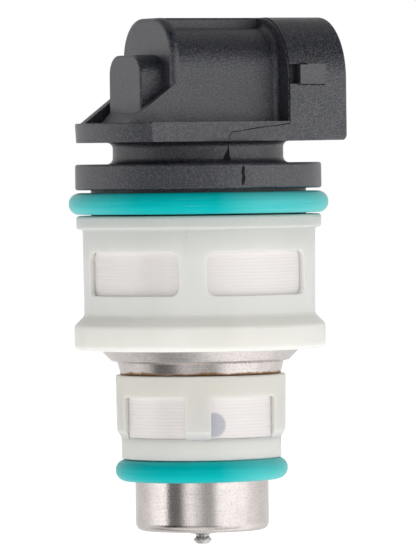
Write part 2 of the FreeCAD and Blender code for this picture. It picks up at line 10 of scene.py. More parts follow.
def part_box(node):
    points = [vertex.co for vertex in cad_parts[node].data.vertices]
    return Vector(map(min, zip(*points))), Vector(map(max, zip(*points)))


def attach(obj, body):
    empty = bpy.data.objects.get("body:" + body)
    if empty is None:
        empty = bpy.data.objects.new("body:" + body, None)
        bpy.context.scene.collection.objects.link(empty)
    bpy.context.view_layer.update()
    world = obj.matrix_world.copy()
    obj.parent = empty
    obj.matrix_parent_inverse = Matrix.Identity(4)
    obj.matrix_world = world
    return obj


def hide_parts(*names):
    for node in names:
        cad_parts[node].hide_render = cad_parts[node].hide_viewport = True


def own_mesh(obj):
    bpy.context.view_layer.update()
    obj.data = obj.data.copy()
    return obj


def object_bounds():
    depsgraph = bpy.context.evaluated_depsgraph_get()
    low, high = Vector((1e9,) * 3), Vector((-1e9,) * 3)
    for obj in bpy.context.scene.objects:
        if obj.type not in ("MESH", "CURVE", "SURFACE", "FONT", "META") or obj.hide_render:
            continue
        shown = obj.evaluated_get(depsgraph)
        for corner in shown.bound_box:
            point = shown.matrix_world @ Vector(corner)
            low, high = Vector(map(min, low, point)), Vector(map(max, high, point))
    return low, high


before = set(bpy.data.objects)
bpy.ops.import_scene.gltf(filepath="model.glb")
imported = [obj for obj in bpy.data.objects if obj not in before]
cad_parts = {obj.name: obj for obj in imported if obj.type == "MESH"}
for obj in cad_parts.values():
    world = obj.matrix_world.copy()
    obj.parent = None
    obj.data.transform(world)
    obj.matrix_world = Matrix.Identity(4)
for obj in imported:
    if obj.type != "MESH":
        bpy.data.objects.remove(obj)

# Looks for the throttle-body fuel injector. Metres, +Z up the injector's axis, +X out of the connector.

cad_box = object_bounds()
MM = 0.001
BODY = "injector"

# The camera looks at the injector's -Y side, almost level with it. It stands 25 degrees round from square-on,
# away from the connector.
VIEW_AZIMUTH = -115.0
VIEW_ELEVATION = 1.07
VIEW_DISTANCE = 0.7
VIEW_CENTRE = (0.95 * MM, 28.1 * MM)
VIEW_ROLL = -0.7
LENS = 407.3
SENSOR = 36.0
CLIP = (0.01, 50)
FLOOR_Z = -7.0 * MM
FLOOR_REACH = 4.0
FLOOR_GLOW = 0.80

# The radial holes in the steel tube behind the lower screen: millimetres, and the degrees of one of the four.
INLET_R = 1.35
INLET_HEIGHT = 12.0
INLET_AZIMUTH = -106.0

# The lock ramps stand out beyond this distance from the middle of the connector, above this height.
LOCK_FOOT = 9.45
LOCK_UNDER = 49.0

# The two ends of this direction, in x and y, are where the seal rings carry a painted sheen: they are painted
# paler there.
RING_SHEEN_X = 0.9
RING_SHEEN_Y = -0.42


# ---- Node helpers ----

def fill_ramp(node, stops):
    """Gives a colour ramp its stops, in rising order: (position, grey) or (position, (r, g, b))."""
    elements = node.color_ramp.elements
    colours = [(place, tone if isinstance(tone, tuple) else (tone,) * 3) for place, tone in stops]
    for element, (place, colour) in ((elements[0], colours[0]), (elements[1], colours[-1])):
        element.position = place
        element.color = (*colour, 1)
    for place, colour in colours[1:-1]:
        elements.new(place).color = (*colour, 1)


class Look:
    """A procedural material under construction: its node tree and its Principled shader."""

    def __init__(self, name, **settings):
        self.material = bpy.data.materials.new(name)
        self.material.use_nodes = True
        self.tree = self.material.node_tree
        self.shader = self.tree.nodes["Principled BSDF"]
        for key, value in settings.items():
            self.shader.inputs[key.replace("_", " ")].default_value = value
        place = self.tree.nodes.new("ShaderNodeTexCoord")
        self.place = place.outputs["Object"]

    def add(self, kind, **settings):
        node = self.tree.nodes.new("ShaderNode" + kind)
        for key, value in settings.items():
            setattr(node, key, value)
        return node

    def feed(self, socket, value):
        """Links an output to a socket, or sets the socket to a constant."""
        if isinstance(value, bpy.types.NodeSocket):
            self.tree.links.new(value, socket)
        elif value is not None:
            socket.default_value = value

    def math(self, operation, a, b=None):
        node = self.add("Math", operation=operation)
        self.feed(node.inputs[0], a)
        self.feed(node.inputs[1], b)
        return node.outputs[0]

    def stretched(self, x, y, z):
        """The place on the object, scaled per axis: 1000 makes one unit a millimetre."""
        node = self.add("Mapping")
        node.inputs["Scale"].default_value = (x, y, z)
        self.feed(node.inputs["Vector"], self.place)
        return node.outputs[0]

    def noise(self, scale, detail=2.0, roughness=0.5, per_axis=(1, 1, 1)):
        """Noise with about this many lumps to the millimetre."""
        node = self.add("TexNoise")
        self.feed(node.inputs["Vector"], self.stretched(*(1000 * a for a in per_axis)))
        node.inputs["Scale"].default_value = scale
        node.inputs["Detail"].default_value = detail
        node.inputs["Roughness"].default_value = roughness
        return node.outputs["Fac"]

    def ramp(self, value, *stops):
        """A colour ramp. Each stop is (position, grey) or (position, (r, g, b))."""
        node = self.add("ValToRGB")
        self.feed(node.inputs[0], value)
        fill_ramp(node, stops)
        return node.outputs[0]

    def mix(self, amount, a, b):
        node = self.add("Mix", data_type="RGBA")
        self.feed(node.inputs["Factor"], amount)
        self.feed(node.inputs[6], (*a, 1) if isinstance(a, tuple) else a)
        self.feed(node.inputs[7], (*b, 1) if isinstance(b, tuple) else b)
        return node.outputs[2]

    def parts(self, vector):
        """The x, y and z of a vector."""
        node = self.add("SeparateXYZ")
        self.feed(node.inputs[0], vector)
        return node.outputs

    def from_holes(self, height, azimuth):
        """The distance in tens of millimetres from four radial holes, a quarter turn apart."""
        turn = self.add("VectorRotate", rotation_type="Z_AXIS")
        turn.inputs["Angle"].default_value = -math.radians(azimuth)
        self.feed(turn.inputs["Vector"], self.stretched(100, 100, 100))
        parts = self.parts(turn.outputs[0])
        x, y = (self.math("ABSOLUTE", parts[i]) for i in (0, 1))
        aside = self.math("POWER", self.math("MINIMUM", x, y), 2.0)
        above = self.math("POWER", self.math("SUBTRACT", parts[2], height / 10), 2.0)
        return self.math("SQRT", self.math("ADD", aside, above))

    def height(self):
        """The height up the injector's axis, in millimetres."""
        return self.parts(self.stretched(1000, 1000, 1000))[2]

    def bump(self, *layers):
        """Stacks bumps. Each layer is (height output, depth in millimetres)."""
        normal = None
        for value, depth in layers:
            node = self.add("Bump")
            node.inputs["Distance"].default_value = depth * MM
            self.feed(node.inputs["Height"], value)
            self.feed(node.inputs["Normal"], normal)
            normal = node.outputs[0]
        self.feed(self.shader.inputs["Normal"], normal)

    def set(self, **values):
        for key, value in values.items():
            self.feed(self.shader.inputs[key.replace("_", " ")], value)


# ---- Materials ----

def black_nylon():
    """Glass-filled nylon: pale fibre flecks and dark pits in a dull blue-black skin. The lock ramps at the
    connector's sides are painted paler, a painted highlight for the light that their tilted faces catch."""
    look = Look("black_nylon_look", IOR=1.75, Specular_IOR_Level=0.70)
    patches = look.noise(0.35, 3.0)
    grain = look.noise(4.4, 2.0, 0.9)
    flecks = look.ramp(grain, (0.50, 0.0), (0.60, 1.0))
    pits = look.ramp(grain, (0.34, 1.0), (0.46, 0.0))
    skin = look.mix(patches, (0.0060, 0.0080, 0.0200), (0.0095, 0.0115, 0.0250))
    skin = look.mix(look.math("MULTIPLY", flecks, 0.45), skin, (0.120, 0.117, 0.112))
    skin = look.mix(look.math("MULTIPLY", pits, 0.80), skin, (0.002, 0.002, 0.004))
    parts = look.parts(look.stretched(1000, 1000, 1000))
    # Painted highlight: the lock ramps at the connector's sides are painted paler for the light their tilted
    # faces catch.
    beyond = look.math("GREATER_THAN", look.math("ABSOLUTE", parts[1]), LOCK_FOOT)
    lock_highlight = look.math("MULTIPLY", beyond, look.math("GREATER_THAN", parts[2], LOCK_UNDER))
    skin = look.mix(look.math("MULTIPLY", lock_highlight, 0.4), skin, (0.052, 0.050, 0.056))
    rough = look.ramp(patches, (0.3, 0.29), (0.7, 0.36))
    look.set(Base_Color=skin, Roughness=rough)
    look.bump((grain, 0.075), (look.noise(1.1, 2.0), 0.02))
    return look.material


def teal_rubber():
    """Fluoro rubber: teal, with streaks that run round the ring.

    It is painted paler towards both ends of a fixed direction, which is the main camera's own left to
    right. That imitates light that the lamps don't give, and isn't known to be wear."""
    look = Look("teal_rubber_look", Specular_IOR_Level=0.45)
    look.shader.inputs["Specular Tint"].default_value = (0.12, 1.0, 1.0, 1.0)
    streaks = look.noise(1.0, 4.0, 0.6, (0.12, 0.12, 3.4))
    mottle = look.noise(0.8, 2.0)
    parts = look.parts(look.stretched(30, 30, 30))
    # Painted sheen: the rings are painted paler towards both ends of this fixed direction.
    toward = look.math("ADD", look.math("MULTIPLY", parts[0], RING_SHEEN_X),
                       look.math("MULTIPLY", parts[1], RING_SHEEN_Y))
    ends = look.ramp(look.math("ADD", toward, 0.5), (0.07, 0.85), (0.16, 0.50), (0.22, 0.25), (0.30, 0.0),
                     (0.56, 0.0), (0.62, 0.35), (0.69, 0.70), (0.76, 0.80))
    pale = look.math("MULTIPLY", ends, look.ramp(streaks, (0.30, 0.55), (0.62, 1.0)))
    stray = look.math("MULTIPLY", look.ramp(streaks, (0.62, 0.0), (0.74, 1.0)), 0.35)
    skin = look.mix(mottle, (0.0, 0.455, 0.465), (0.0, 0.500, 0.510))
    skin = look.mix(look.math("MAXIMUM", pale, stray), skin, (0.125, 0.640, 0.635))
    look.set(Base_Color=skin, Roughness=look.ramp(streaks, (0.4, 0.29), (0.8, 0.45)))
    look.bump((look.noise(3.0, 3.0, 0.5, (0.5, 0.5, 2.5)), 0.006))
    return look.material


def torn_flash_and_shadow():
    """The dull dark edge that black nylon leaves where its flash was torn off. It also colours the threads
    of painted shadow along the lock ramp.
    """
    look = Look("torn_flash_look", Specular_IOR_Level=0.25)
    mottle = look.noise(5.0, 3.0, 0.7)
    look.set(Base_Color=look.mix(mottle, (0.003, 0.003, 0.004), (0.016, 0.016, 0.018)),
             Roughness=look.ramp(mottle, (0.3, 0.6), (0.7, 0.8)))
    look.bump((mottle, 0.03))
    return look.material


def natural_nylon():
    """Unfilled nylon: milky and translucent, with faint flow lines and a smooth moulded skin.

    Bands of painted shade, darker by height, stand for the dark cap that shows through the upper sleeve's
    top, and for the steel that shows through the lower sleeve."""
    look = Look("natural_nylon_look", Specular_IOR_Level=0.45, Subsurface_Weight=0.7,
                Subsurface_Scale=1.5 * MM)
    look.shader.inputs["Subsurface Radius"].default_value = (1.0, 0.95, 0.85)
    flow = look.ramp(look.noise(0.14, 3.0, 0.5, (1.0, 1.0, 0.35)), (0.3, 0.0), (0.7, 1.0))
    skin = look.mix(flow, (0.870, 0.855, 0.795), (0.930, 0.915, 0.855))
    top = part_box("upper_filter_frame")[1].z
    share = look.math("DIVIDE", look.height(), top / MM)
    # Painted shade where the dark cap and the steel show through the sleeves.
    painted_shade_top = look.ramp(share, (0.86, 0.0), (0.97, 0.75))
    low, high = (corner.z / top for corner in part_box("lower_filter_frame"))
    painted_shade_low = look.ramp(share, (low, 0.0), (low + 0.12, 0.45), (high, 0.6), (high + 0.01, 0.0))
    skin = look.mix(painted_shade_top, skin, (0.560, 0.590, 0.570))
    skin = look.mix(painted_shade_low, skin, (0.690, 0.655, 0.590))
    look.set(Base_Color=skin, Roughness=look.ramp(look.noise(0.5, 2.0), (0.3, 0.30), (0.7, 0.40)))
    look.bump((look.noise(0.8, 2.0), 0.006))
    return look.material


def filter_mesh():
    """Woven nylon thread. Bluish discs of painted shade on it stand for the steel's dark inlet holes showing
    through it, with soft edges from 0.9 to 1.1 of their radius."""
    look = Look("filter_mesh_look", Specular_IOR_Level=0.9, Coat_Weight=0.8, Coat_Roughness=0.16,
                Coat_IOR=1.6)
    cloud = look.noise(0.25, 3.0)
    skin = look.mix(cloud, (0.885, 0.825, 0.810), (0.910, 0.870, 0.855))
    # Painted shade: bluish discs where the steel's inlet holes lie behind the screen.
    holes = look.ramp(look.from_holes(INLET_HEIGHT, INLET_AZIMUTH), (0.0, 0.72), (INLET_R * 0.09, 0.66),
                      (INLET_R * 0.11, 0.0))
    look.set(Base_Color=look.mix(holes, skin, (0.330, 0.370, 0.450)),
             Roughness=look.ramp(look.noise(4.0, 2.0), (0.3, 0.29), (0.7, 0.38)))
    look.bump((look.noise(0.9, 3.0, 0.6, (0.25, 0.25, 3.0)), 0.02))
    return look.material


def turned_metal(name, tone, worn, roughness, grain=0.006):
    """Metal with fine tool marks round the axis, a slight grain and duller patches."""
    look = Look(name, Metallic=1.0)
    patches = look.ramp(look.noise(0.5, 4.0, 0.6), (0.35, 0.0), (0.70, 1.0))
    marks = look.noise(1.0, 3.0, 0.6, (0.2, 0.2, 9.0))
    specks = look.ramp(look.noise(5.5, 2.0, 0.8), (0.36, 0.30), (0.50, 0.0))
    skin = look.mix(specks, look.mix(patches, tone, worn), tuple(0.45 * part for part in worn))
    rough = look.ramp(marks, (0.3, roughness - 0.05), (0.7, roughness + 0.07))
    look.set(Base_Color=skin, Roughness=rough)
    look.bump((marks, 0.004), (look.noise(7.0, 2.0, 0.6), grain))
    return look


def housing_steel():
    """Turned stainless steel, with a brown tide line where the neck meets the lower filter."""
    look = turned_metal("housing_steel_look", (0.82, 0.760, 0.735), (0.73, 0.665, 0.640), 0.16, grain=0.007)
    clean = look.shader.inputs["Base Color"].links[0].from_socket
    rough = look.shader.inputs["Roughness"].links[0].from_socket
    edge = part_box("lower_filter_frame")[1].z / MM
    above = look.math("ABSOLUTE", look.math("SUBTRACT", look.height(), edge))
    reach = look.math("MULTIPLY", look.ramp(look.noise(0.35, 3.0), (0.35, 0.25), (0.7, 1.0)), 0.75)
    ragged = look.math("MULTIPLY", look.noise(2.4, 4.0, 0.75), reach)
    tide = look.ramp(look.math("SUBTRACT", above, ragged), (0.0, 0.9), (0.16, 0.0))
    core = look.math("MULTIPLY", ragged, 0.35)
    crust = look.ramp(look.math("SUBTRACT", above, core), (0.0, 1.0), (0.10, 0.0))
    stain = look.mix(crust, (0.430, 0.240, 0.105), (0.085, 0.042, 0.018))
    look.set(Base_Color=look.mix(tide, clean, stain), Roughness=look.mix(tide, rough, (0.7, 0.7, 0.7)))
    return look.material


def dark_rubber():
    look = Look("dark_rubber_look", Specular_IOR_Level=0.35)
    mottle = look.noise(1.5, 3.0)
    look.set(Base_Color=look.mix(mottle, (0.018, 0.018, 0.020), (0.040, 0.040, 0.042)),
             Roughness=look.ramp(mottle, (0.3, 0.55), (0.7, 0.75)))
    look.bump((look.noise(4.0, 3.0), 0.01))
    return look.material


def bobbin_nylon():
    look = Look("bobbin_nylon_look", Specular_IOR_Level=0.5)
    flecks = look.ramp(look.noise(6.0, 2.0, 0.7), (0.52, 0.0), (0.75, 1.0))
    skin = look.mix(look.noise(0.4), (0.080, 0.090, 0.100), (0.120, 0.130, 0.140))
    look.set(Base_Color=look.mix(look.math("MULTIPLY", flecks, 0.5), skin, (0.25, 0.25, 0.24)),
             Roughness=look.ramp(flecks, (0.0, 0.45), (1.0, 0.6)))
    look.bump((look.noise(5.0, 3.0), 0.01))
    return look.material


def copper_wire():
    """Enamelled copper, each turn a slightly different tone."""
    look = Look("copper_wire_look", Metallic=1.0, Coat_Weight=0.6, Coat_Roughness=0.12)
    turns = look.noise(2.6, 1.0, 0.5, (0.05, 0.05, 1.0))
    look.set(Base_Color=look.mix(turns, (0.560, 0.200, 0.070), (0.820, 0.380, 0.160)),
             Roughness=look.ramp(turns, (0.3, 0.22), (0.7, 0.34)))
    look.bump((look.noise(6.0, 2.0), 0.004))
    return look.material


def coil_tape():
    look = Look("coil_tape_look", Specular_IOR_Level=0.6, Coat_Weight=0.4, Coat_Roughness=0.1)
    wrinkles = look.noise(0.7, 4.0, 0.6, (1.0, 1.0, 0.4))
    look.set(Base_Color=look.mix(wrinkles, (0.50, 0.33, 0.07), (0.70, 0.50, 0.16)),
             Roughness=look.ramp(wrinkles, (0.3, 0.18), (0.7, 0.32)))
    look.bump((wrinkles, 0.04))
    return look.material


# The plainer metals: (fresh tone, duller tone, roughness).
METALS = {
    "ground_steel": ((0.70, 0.69, 0.68), (0.60, 0.59, 0.58), 0.16),
    "core_iron": ((0.58, 0.57, 0.54), (0.47, 0.46, 0.44), 0.30),
    "spring_steel": ((0.52, 0.52, 0.53), (0.40, 0.40, 0.41), 0.25),
    "terminal_metal": ((0.76, 0.74, 0.70), (0.62, 0.60, 0.56), 0.26),
}

LOOKS = {
    "black_nylon": black_nylon(),
    "teal_rubber": teal_rubber(),
    "natural_nylon": natural_nylon(),
    "filter_mesh": filter_mesh(),
    "housing_steel": housing_steel(),
    **{slot: turned_metal(slot + "_look", *metal).material for slot, metal in METALS.items()},
    "dark_rubber": dark_rubber(),
    "bobbin_nylon": bobbin_nylon(),
    "copper_wire": copper_wire(),
    "coil_tape": coil_tape(),
}


def slot_of(node):
    """The record's material slot of a CAD node, read from the name of its first material."""
    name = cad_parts[node].data.materials[0].name
    return next(slot for slot in LOOKS if name.startswith(slot))


SLOTS = {node: slot_of(node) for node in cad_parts}
for node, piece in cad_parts.items():
    for index in range(len(piece.material_slots)):
        piece.material_slots[index].material = LOOKS[SLOTS[node]]


# ---- Mesh helpers ----

def piece_from(name, vertices, faces, slot, look=None, smooth=True):
    """A piece that rides on the injector's body, its faces turned outwards."""
    mesh = bpy.data.meshes.new(name)
    mesh.from_pydata(vertices, [], faces)
    mesh.validate()
    form = bmesh.new()
    form.from_mesh(mesh)
    bmesh.ops.recalc_face_normals(form, faces=form.faces)
    form.to_mesh(mesh)
    form.free()
    for polygon in mesh.polygons:
        polygon.use_smooth = smooth
    mesh.materials.append(look or LOOKS[slot])
    piece = bpy.data.objects.new(name, mesh)
    bpy.context.scene.collection.objects.link(piece)
    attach(piece, BODY)
    return piece


def revolved(section, steps, tilt=None):
    """Vertices and quads of a closed (radius, z) section carried once round the axis."""
    vertices = []
    for i in range(steps):
        angle = 2 * math.pi * i / steps
        for radius, z in section:
            point = Vector((radius * math.cos(angle), radius * math.sin(angle), z))
            vertices.append(tilt @ point if tilt else point)
    count = len(section)
    faces = []
    for i in range(steps):
        onward = (i + 1) % steps
        for j in range(count):
            k = (j + 1) % count
            faces.append((i * count + j, onward * count + j, onward * count + k, i * count + k))
    return vertices, faces


# ---- Seal rings ----

RING_STEPS = 288
RING_POINTS = 56
RING_INSET = 0.02 * MM
FLASH = 0.035 * MM
FLASH_DEG = 3.0
UPPER_RING_FLAT = 0.08 * MM
LOWER_RING_LEAN = 0.35


def seal_ring(node, flat, lean_deg, lean_azimuth):
    """A round-section ring with the fine flash line its mould leaves, seated very slightly askew.

    Its underside is flattened by the height given."""
    low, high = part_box(node)
    section_r = (high.z - low.z) / 2
    centre_z = (high.z + low.z) / 2
    centre_r = high.x - section_r
    section = []
    for i in range(RING_POINTS):
        angle = 360.0 * i / RING_POINTS
        from_line = min(angle, 360 - angle, abs(angle - 180))
        dip = FLASH if from_line < FLASH_DEG else 0
        radius = section_r - RING_INSET - dip
        section.append((centre_r + radius * math.cos(math.radians(angle)),
                        max(centre_z + radius * math.sin(math.radians(angle)), low.z + flat)))
    axis = Vector((math.cos(math.radians(lean_azimuth)), math.sin(math.radians(lean_azimuth)), 0))
    lean = Matrix.Rotation(math.radians(lean_deg), 4, axis)
    centre = Matrix.Translation((0, 0, centre_z))
    vertices, faces = revolved(section, RING_STEPS, centre @ lean @ centre.inverted())
    ring = piece_from(node + "_seal", vertices, faces, "teal_rubber")
    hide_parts(node)


seal_ring("upper_o_ring", UPPER_RING_FLAT, 0.0, 0.0)
seal_ring("lower_o_ring", 0.0, LOWER_RING_LEAN, VIEW_AZIMUTH)


# ---- Filter screens ----

SLEEVE_PROUD = 0.10 * MM
SLEEVE_WALL = 0.22 * MM
THREAD_PITCH = 0.36 * MM
THREAD_DEPTH = 0.028 * MM
THREAD_STEPS = 4
CROSSING = 0.2


def woven_sleeve(node):
    """A sleeve of woven thread, drawn tight against its frame. The threads that run round it stand out."""
    low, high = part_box(node)
    outer = high.x + SLEEVE_PROUD
    inner = outer - SLEEVE_WALL
    rows = THREAD_STEPS * round((high.z - low.z) / THREAD_PITCH)
    around = 2 * round(math.pi * outer / THREAD_PITCH)
    vertices = []
    for j in range(rows + 1):
        z = low.z + (high.z - low.z) * j / rows
        for i in range(around):
            angle = 2 * math.pi * i / around
            over = CROSSING if (i + j // THREAD_STEPS) % 2 else 0.0
            radius = outer - THREAD_DEPTH * (1 + over) * math.sin(math.pi * j / THREAD_STEPS) ** 2
            vertices.append((radius * math.cos(angle), radius * math.sin(angle), z))
    faces = []
    for j in range(rows):
        for i in range(around):
            k = (i + 1) % around
            faces.append((j * around + i, j * around + k, (j + 1) * around + k, (j + 1) * around + i))
    # The plain inner wall closes the sleeve.
    start = len(vertices)
    for z in (low.z, high.z):
        for i in range(around):
            angle = 2 * math.pi * i / around
            vertices.append((inner * math.cos(angle), inner * math.sin(angle), z))
    top = rows * around
    for i in range(around):
        k = (i + 1) % around
        faces.append((start + k, start + i, start + around + i, start + around + k))
        faces.append((i, start + i, start + k, k))
        faces.append((top + k, start + around + k, start + around + i, top + i))
    sleeve = piece_from(node + "_weave", vertices, faces, "filter_mesh")
    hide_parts(node)


woven_sleeve("upper_filter_screen")
woven_sleeve("lower_filter_screen")


# ---- Marks that the moulds leave, and threads of painted shadow along the lock ramp ----

# Rays start this far out: from the axis, and from the plane through the axis and the connector.
AXIS_RAY = 30
SIDE_RAY = 20
FLASH_ROOT = 0.03 * MM
SCAR_RISE = 0.03 * MM


def surface_of(node):
    """A function that finds where a ray, in millimetres, meets a CAD node, and which way it faces there."""
    form = bmesh.new()
    form.from_mesh(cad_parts[node].data)
    tree = BVHTree.FromBMesh(form)
    form.free()

    def meet(start, aim):
        place, normal, _, _ = tree.ray_cast(Vector(start) * MM, Vector(aim).normalized())
        return place, normal

    return meet


def facing_axis(meet, azimuth, z):
    """The spot at an azimuth in degrees and a height in millimetres."""
    toward = Vector((math.cos(math.radians(azimuth)), math.sin(math.radians(azimuth)), 0))
    return meet(toward * AXIS_RAY + Vector((0, 0, z)), -toward)


def flash_and_shadow_thread(name, spots, width, rise, slot, look):
    """A thread of flash along a mould's joint: a low ridge whose place, width and height wander. Along the
    lock ramp the same ridge is a dark thread of painted shadow.
    """
    wander = random.Random(name)
    ceiling = cad_box[1].z
    vertices = []
    for i, (place, normal) in enumerate(spots):
        along = spots[min(i + 1, len(spots) - 1)][0] - spots[max(i - 1, 0)][0]
        across = along.cross(normal).normalized()
        middle = place + across * wander.uniform(-0.25, 0.25) * width
        half = across * wander.uniform(0.35, 0.65) * width
        root = middle - normal * FLASH_ROOT
        crest = middle + normal * wander.uniform(0.4, 1.0) * rise
        crest.z = min(crest.z, ceiling)
        vertices += [root - half, root + half, crest]
    faces = []
    for i in range(0, len(vertices) - 3, 3):
        faces += [(i + j, i + (j + 1) % 3, i + 3 + (j + 1) % 3, i + 3 + j) for j in range(3)]
    last = len(vertices)
    faces += [(0, 1, 2), (last - 1, last - 2, last - 3)]
    piece_from(name, vertices, faces, slot, look, smooth=False)


def scar(name, spots, slot, look):
    """A ragged patch of torn flash, raised very slightly off the surface, inside a ring of spots."""
    count = len(spots)
    vertices = [place + normal * SCAR_RISE for place, normal in spots]
    vertices += [place - normal * SCAR_RISE for place, normal in spots]
    faces = [tuple(range(count)), tuple(reversed(range(count, 2 * count)))]
    for i in range(count):
        k = (i + 1) % count
        faces.append((i, k, count + k, count + i))
    piece_from(name, vertices, faces, slot, look, smooth=False)


def evenly(start, end, count):
    return [start + (end - start) * i / (count - 1) for i in range(count)]


# Millimetres, and degrees round the axis or, for the collar's arc, up from its own middle.
COLLAR_SEAM_X = 6.93
COLLAR_MIDDLE_Z = 48.0
COLLAR_ARC = (86, -16)
NECK_SEAM_AZIMUTH = -94.4
NECK_SEAM = (43.1, 42.6)
WELD_AZIMUTH = -121.0
WELD = (34.6, 30.2)
SIDE_SEAM = ((COLLAR_SEAM_X, 45.1), (3.3, 44.75), (1.0, 44.4), (-0.35, 44.2), (-0.6, 43.35))
NECK_SCAR = ((-94.2, 42.75), (-93.6, 42.2), (-93.5, 41.6), (-92.6, 41.15), (-95.0, 41.1), (-98.3, 41.2),
             (-96.6, 41.8), (-95.0, 42.3))
DISC_SCAR = ((-93.6, 40.62), (-93.0, 40.2), (-93.3, 39.7), (-92.7, 39.2), (-93.3, 38.6), (-94.3, 38.35),
             (-94.7, 38.9), (-94.3, 39.4), (-94.8, 39.9), (-94.3, 40.4))
# Threads of painted shadow along the lock ramp's lower and upper edges: x from, x to, and height.
LOCK_SHADOW_EDGES = ((7.95, 11.2, 49.42), (7.95, 8.9, 51.66))


def cap_seams_and_lock_shadow():
    """The mould's joint on the cap, round the collar's rear edge, along the flange and down its neck.

    Dark threads along the lock ramp on the -Y side stand for the shadow that its rounded edges cast on the
    real cap. The CAD's ramp is a flat wedge."""
    cap = surface_of("connector_cap")
    look = torn_flash_and_shadow()
    spots = []
    for angle in evenly(*COLLAR_ARC, 90):
        out = Vector((0, -math.cos(math.radians(angle)), math.sin(math.radians(angle))))
        spots.append(cap(Vector((COLLAR_SEAM_X, 0, COLLAR_MIDDLE_Z)) + out * SIDE_RAY, -out))
    flash_and_shadow_thread("collar_seam", spots, 0.20 * MM, 0.09 * MM, "black_nylon", look)
    spots = []
    for (x0, z0), (x1, z1) in zip(SIDE_SEAM, SIDE_SEAM[1:]):
        for x, z in zip(evenly(x0, x1, 12)[:-1], evenly(z0, z1, 12)[:-1]):
            spots.append(cap((x, -SIDE_RAY, z), (0, 1, 0)))
    flash_and_shadow_thread("flange_seam", spots, 0.15 * MM, 0.06 * MM, "black_nylon", look)
    spots = [facing_axis(cap, NECK_SEAM_AZIMUTH, z) for z in evenly(*NECK_SEAM, 6)]
    flash_and_shadow_thread("neck_seam", spots, 0.16 * MM, 0.05 * MM, "black_nylon", look)
    # Painted shadow along the lock ramp's edges, drawn as dark threads.
    for place, (start, end, z) in zip(("lower", "upper"), LOCK_SHADOW_EDGES):
        spots = [cap((x, -SIDE_RAY, z), (0, 1, 0)) for x in evenly(start, end, 16)]
        flash_and_shadow_thread("lock_edge_" + place, spots, 0.22 * MM, 0.05 * MM, "black_nylon", look)
    scar("neck_scar", [facing_axis(cap, *spot) for spot in NECK_SCAR], "black_nylon", look)
    scar("disc_scar", [facing_axis(cap, *spot) for spot in DISC_SCAR], "black_nylon", look)


def sleeve_weld():
    """The faint weld line that runs down the upper sleeve above its rib."""
    sleeve = surface_of("upper_filter_frame")
    spots = [facing_axis(sleeve, WELD_AZIMUTH, z) for z in evenly(*WELD, 30)]
    flash_and_shadow_thread("sleeve_weld_line", spots, 0.10 * MM, 0.008 * MM, "natural_nylon", LOOKS["natural_nylon"])


cap_seams_and_lock_shadow()
sleeve_weld()


# ---- Coil ----

COIL_INNER = 5.02 * MM
COIL_TURNS = 26
COIL_LAYERS = 12
COIL_STEPS = 96


def wound_coil(node, turns, layers):
    """The winding, scalloped by its turns outside and by its layers at both ends."""
    low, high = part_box(node)
    outer = high.x
    inner = COIL_INNER
    turn = (high.z - low.z) / turns
    layer = (outer - inner) / layers
    section = [(inner, low.z + turn / 2)]
    arc = [math.radians(a) for a in range(-90, 90, 30)]
    for i in range(layers):
        middle = inner + layer * (i + 0.5)
        section += [(middle + layer / 2 * math.sin(a), low.z + layer / 2 * (1 - math.cos(a))) for a in arc]
    for i in range(turns):
        middle = low.z + turn * (i + 0.5)
        section += [(outer - turn / 2 * (1 - math.cos(a)), middle + turn / 2 * math.sin(a)) for a in arc]
    for i in reversed(range(layers)):
        middle = inner + layer * (i + 0.5)
        section += [(middle - layer / 2 * math.sin(a), high.z - layer / 2 * (1 - math.cos(a))) for a in arc]
    section.append((inner, high.z - turn / 2))
    vertices, faces = revolved(section, COIL_STEPS)
    coil = piece_from(node + "_turns", vertices, faces, "copper_wire")
    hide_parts(node)


wound_coil("coil_winding", COIL_TURNS, COIL_LAYERS)


# ---- Return spring ----


def coil_spring(node):
    """A copy of the CAD's spring, with a mesh of its own. The copy doesn't shorten by the valve's lift."""
    spring = bpy.data.objects.new(node + "_coil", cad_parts[node].data.copy())
    bpy.context.scene.collection.objects.link(spring)
    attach(spring, BODY)
    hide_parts(node)
    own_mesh(spring)


coil_spring("return_spring")


# ---- Studio ----

def studio_floor():
    """A pale light table, which glows nearly white. Reflections pass it by, and mirror the room instead."""
    mesh = bpy.data.meshes.new("floor")
    corners = ((-1, -1), (1, -1), (1, 1), (-1, 1))
    mesh.from_pydata([(x * FLOOR_REACH, y * FLOOR_REACH, FLOOR_Z) for x, y in corners], [], [(0, 1, 2, 3)])
    look = Look("floor_look", Roughness=0.9, Emission_Color=(1, 1, 1, 1), Emission_Strength=FLOOR_GLOW)
    look.set(Base_Color=look.mix(look.noise(0.02, 2.0), (0.90, 0.90, 0.90), (0.93, 0.93, 0.93)))
    mesh.materials.append(look.material)
    floor = bpy.data.objects.new("floor", mesh)
    floor.visible_glossy = False
    bpy.context.scene.collection.objects.link(floor)


